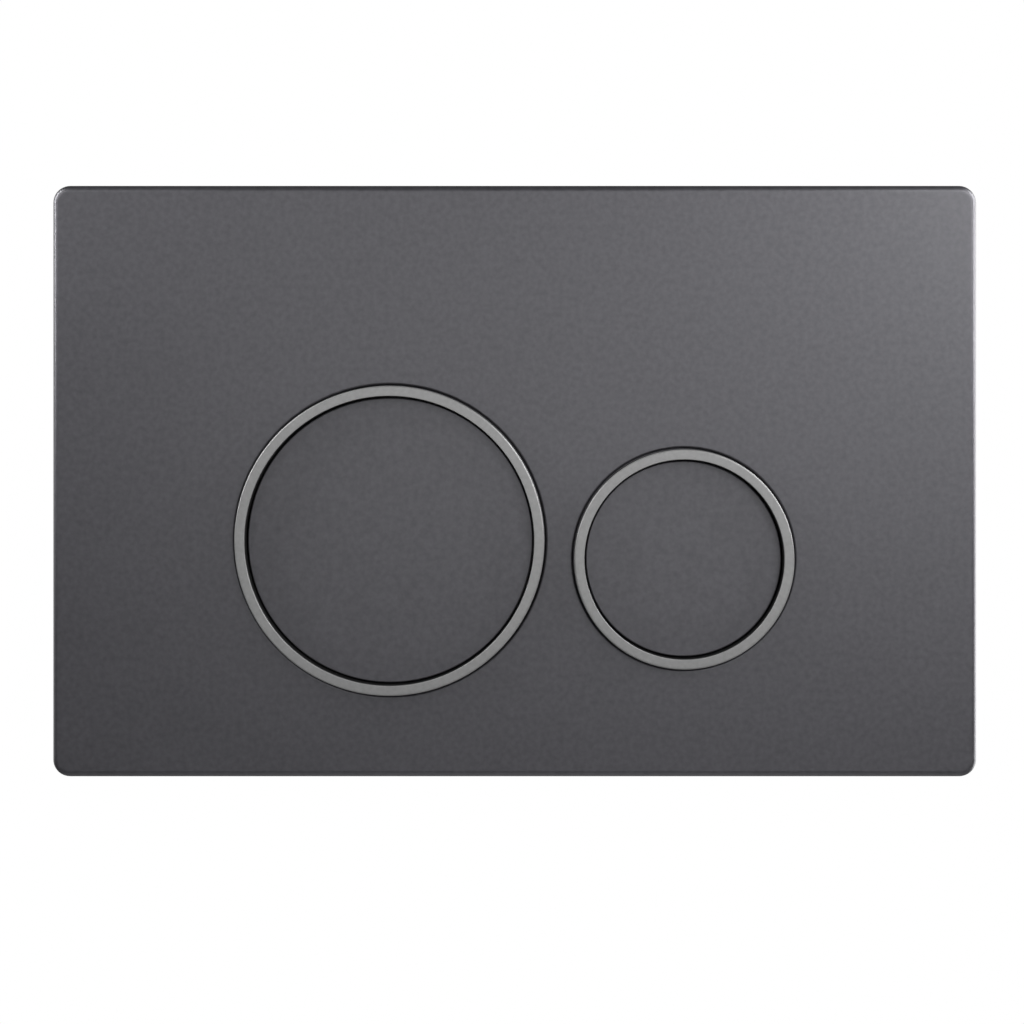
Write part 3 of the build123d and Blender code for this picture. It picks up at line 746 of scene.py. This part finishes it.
# %% Camera in front of the plate
VIEW_WIDTH, CAMERA_DISTANCE = 0.276, 0.33
CAMERA_SIDE, CAMERA_HEIGHT = 0.008, 0.018
PICTURE_MIDDLE = (-0.00068, -0.00825)
SENSOR_WIDTH, NEAREST = 36.0, 0.01
camera = bpy.data.objects.new("camera", bpy.data.cameras.new("camera"))
bpy.context.scene.collection.objects.link(camera)
camera.location = (CAMERA_SIDE, -PLATE_FRONT * MM - CAMERA_DISTANCE, CAMERA_HEIGHT)
camera.rotation_euler = (radians(90), 0, 0)
camera.data.sensor_width = SENSOR_WIDTH
camera.data.lens = SENSOR_WIDTH * CAMERA_DISTANCE / VIEW_WIDTH
camera.data.shift_x = (PICTURE_MIDDLE[0] - CAMERA_SIDE) / VIEW_WIDTH
camera.data.shift_y = (PICTURE_MIDDLE[1] - CAMERA_HEIGHT) / VIEW_WIDTH
camera.data.clip_start = NEAREST
bpy.context.scene.camera = camera
print(f"lens {camera.data.lens:.1f} mm, shift {camera.data.shift_x:.3f} {camera.data.shift_y:.3f}")

# %% [markdown]
# ## Lights
# In the photograph the face grows lighter towards the upper right, its left and right edges are bright
# lines, and its upper edge is dark. One lamp can't do that. A broad panel in front, to the upper right,
# gives the face its slope, with a smaller panel at each side. A strip beside the plate at each side draws
# the bright edges and the arcs on the rings, and a lamp behind the right edge lights its outer side.
# Nothing hangs above.


# %% Softboxes
def softbox(name, place, target, size, power):
    """Rectangular area light at a place, turned towards a target."""
    lamp = bpy.data.lights.new(name, "AREA")
    lamp.shape = "RECTANGLE"
    lamp.size, lamp.size_y = size
    lamp.energy = power
    box = bpy.data.objects.new(name, lamp)
    bpy.context.scene.collection.objects.link(box)
    box.location = place
    box.rotation_euler = (Vector(target) - Vector(place)).to_track_quat("-Z", "Y").to_euler()
    print(f"softbox {name}: {size[0]} x {size[1]} m, {power} W")


softbox("front", (0.12, -0.90, 0.13), (0, 0, 0), (1.0, 0.7), 2.84)
softbox("left_panel", (-0.50, -0.50, 0.34), (-0.10, 0, 0.03), (0.18, 0.30), 0.88)
softbox("right_panel", (0.48, -0.52, 0.34), (0.12, 0, 0.05), (0.34, 0.44), 2.67)
softbox("right_strip", (0.66, -0.13, 0.27), (0.125, 0, 0.03), (0.14, 0.55), 3.6)
softbox("right_rim", (0.50, 0.12, 0.0), (0.125, -0.006, 0.0), (0.25, 0.7), 1.7)
softbox("left_strip", (-0.66, -0.13, 0.30), (-0.125, 0, 0.03), (0.10, 0.50), 3.3)

# %% [markdown]
# ## Room
# The picture's background is plain white paper behind the plate, while the room in front of it is dim. A
# white world would do for the paper, but it would also wash out the dark lacquer. So the camera sees white
# everywhere, reflections see the white paper only behind the plate, and the soft light comes mostly from
# behind, where it reaches the back of the plate and leaves its face to the lamps.

# %% World
DARK_ROOM, SOFT_ROOM, BACK_ROOM = 0.03, 0.07, 0.80
PAPER_RISE, PAPER_START = 2.0, 0.3
PAPER_TOP, PAPER_FALL = 1.5, 3.0
GLOW_RISE = 1.5
NO_LIGHT, FULL_LIGHT = colour(0, 0, 0), colour(1, 1, 1)

world = bpy.data.worlds.new("studio")
bpy.context.scene.world = world
world.use_nodes = True
world.cycles.sampling_method = "NONE"
world.node_tree.nodes.clear()
sky = Value(world.node_tree)
seen = sky.node("ShaderNodeLightPath", output="Is Camera Ray")
clear = sky.node("ShaderNodeLightPath", output="Is Transmission Ray")
mirrored = sky.node("ShaderNodeLightPath", output="Is Glossy Ray")
heading = sky.node("ShaderNodeTexCoord", output="Generated")
ahead = sky.node("ShaderNodeSeparateXYZ", None, {"Vector": heading}, "Y")
above = sky.node("ShaderNodeSeparateXYZ", None, {"Vector": heading}, "Z")
behind = (PAPER_RISE * ahead + PAPER_START).clamp()
level_with_plate = (PAPER_TOP - PAPER_FALL * abs(above)).clamp()
soft_light = SOFT_ROOM + BACK_ROOM * (GLOW_RISE * ahead).clamp()
room = mirrored * (DARK_ROOM + behind * level_with_plate) + (1.0 - mirrored) * soft_light
walls = sky.mix((room + (seen + clear).clamp()).clamp(), NO_LIGHT, FULL_LIGHT)
glow = sky.node("ShaderNodeBackground", None, {"Color": walls, "Strength": 1.0})
sky.node("ShaderNodeOutputWorld", None, {"Surface": glow})
print("soft light from", SOFT_ROOM, "in front to", round(SOFT_ROOM + BACK_ROOM, 2), "behind")

# %% [markdown]
# ## Floor
# The photograph has no floor, but other views need one to look down on. It is a pale sheet well below the
# plate. A floor of real white would throw its light up at the plate's lower edge, so it is a middle grey
# that is lifted to pale for the camera alone, keeps a soft shadow, and fades out into the white at its rim.

# %% Pale floor
FLOOR_LEVEL = -0.45
FLOOR_MIDDLE = (0.0, -0.05, FLOOR_LEVEL)
FLOOR_HALF, FLOOR_POINTS = 0.65, 9
FLOOR_RADIUS, FLOOR_FADE = 0.62, 0.50
FLOOR_TONES = grey_tones(0.40, 0.46)
FLOOR_LIFT = colour(0.50, 0.50, 0.50)
FLOOR_SPOTS, FLOOR_DETAIL, FLOOR_ROUGHNESS = 6.0, 3.0, 0.8

steps = np.linspace(-FLOOR_HALF, FLOOR_HALF, FLOOR_POINTS)
floor_x, floor_y = np.meshgrid(FLOOR_MIDDLE[0] + steps, FLOOR_MIDDLE[1] + steps)
floor = skin("floor", [np.stack([floor_x, floor_y, np.full_like(floor_x, FLOOR_LEVEL)], axis=-1) / MM])
pale, sheet = blank_material("pale_floor")
place = sheet.node("ShaderNodeTexCoord", output="Object")
flecks = {"Vector": place, "Scale": FLOOR_SPOTS, "Detail": FLOOR_DETAIL}
tone = sheet.mix(sheet.node("ShaderNodeTexNoise", None, flecks), *FLOOR_TONES)
distance = {0: place, 1: FLOOR_MIDDLE}
away = sheet.node("ShaderNodeVectorMath", {"operation": "DISTANCE"}, distance, "Value")
cover = ((FLOOR_RADIUS - away) / FLOOR_FADE).clamp()
looked_at = sheet.node("ShaderNodeLightPath", output="Is Camera Ray")
lift = sheet.mix(looked_at, NO_LIGHT, FLOOR_LIFT)
paper = sheet.node("ShaderNodeBsdfPrincipled", None, {
    "Base Color": tone, "Roughness": FLOOR_ROUGHNESS, "Alpha": cover,
    "Emission Color": lift, "Emission Strength": 1.0,
})
sheet.node("ShaderNodeOutputMaterial", None, {"Surface": paper})
floor.data.materials.append(pale)
print("floor at the height", FLOOR_LEVEL, "m, faded out", FLOOR_RADIUS, "m from its middle")

# %% [markdown]
# ## View settings
# Colours are shown with the Standard view transform.

# %% View settings
bpy.context.scene.view_settings.view_transform = "Standard"
